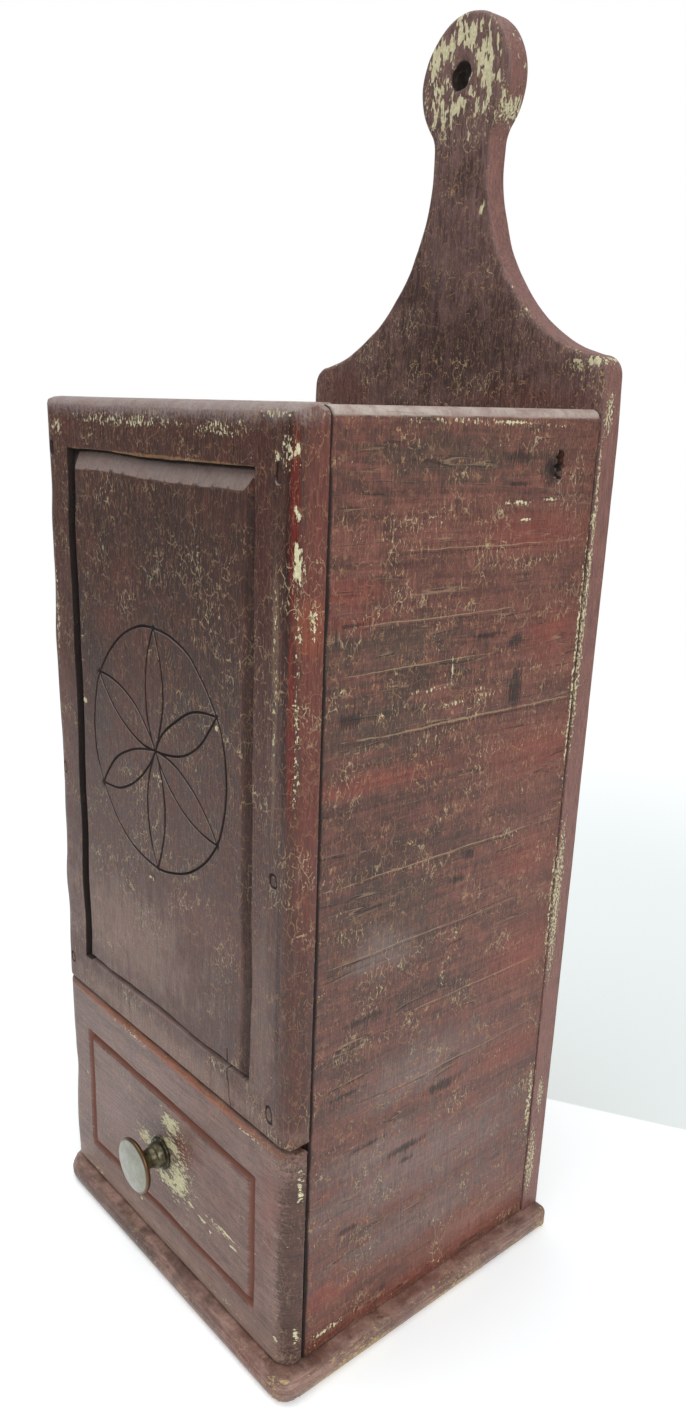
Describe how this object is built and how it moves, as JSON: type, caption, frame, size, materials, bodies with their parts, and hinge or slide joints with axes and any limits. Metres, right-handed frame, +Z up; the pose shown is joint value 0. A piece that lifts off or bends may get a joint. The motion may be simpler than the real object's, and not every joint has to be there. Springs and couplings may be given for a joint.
{
  "type": "wall pipe box",
  "caption": "Painted wooden wall pipe box: open-topped well with a carved front panel, swept back board with a hanging hole, and a small drawer with a knob below.",
  "frame": {"origin": "on the underside of the base board, on the case's centre line, half way between the front board's face and the back board's back", "axes": "+X to the right of someone who faces the front, +Y to the back, +Z up"},
  "size_m": [0.1472, 0.1382, 0.4223],
  "materials": {
    "oxblood_paint": "worn oxblood paint over a cream undercoat",
    "bare_wood": "bare aged pine",
    "old_brass": "dull, grey-green with age",
    "iron": "dark, lightly rusted"
  },
  "bodies": {
    "case": {"base_board": "oxblood_paint", "back_board": "oxblood_paint", "left_side": "oxblood_paint", "right_side": "oxblood_paint", "front_board": "oxblood_paint", "well_floor": "bare_wood", "front_nails": "iron", "back_nails": "iron", "base_nails": "iron", "floor_nails": "iron"},
    "drawer": {"drawer_front": "oxblood_paint", "drawer_left_side": "bare_wood", "drawer_right_side": "bare_wood", "drawer_back": "bare_wood", "drawer_bottom": "bare_wood", "drawer_knob": "old_brass", "knob_nut": "old_brass", "drawer_back_nails": "iron", "drawer_bottom_nails": "iron"}
  },
  "joints": [
    {"name": "drawer_slide", "type": "slide", "parent": "case", "child": "drawer", "axis": [0, -1, 0], "range_m": [0, 0.08]}
  ]
}
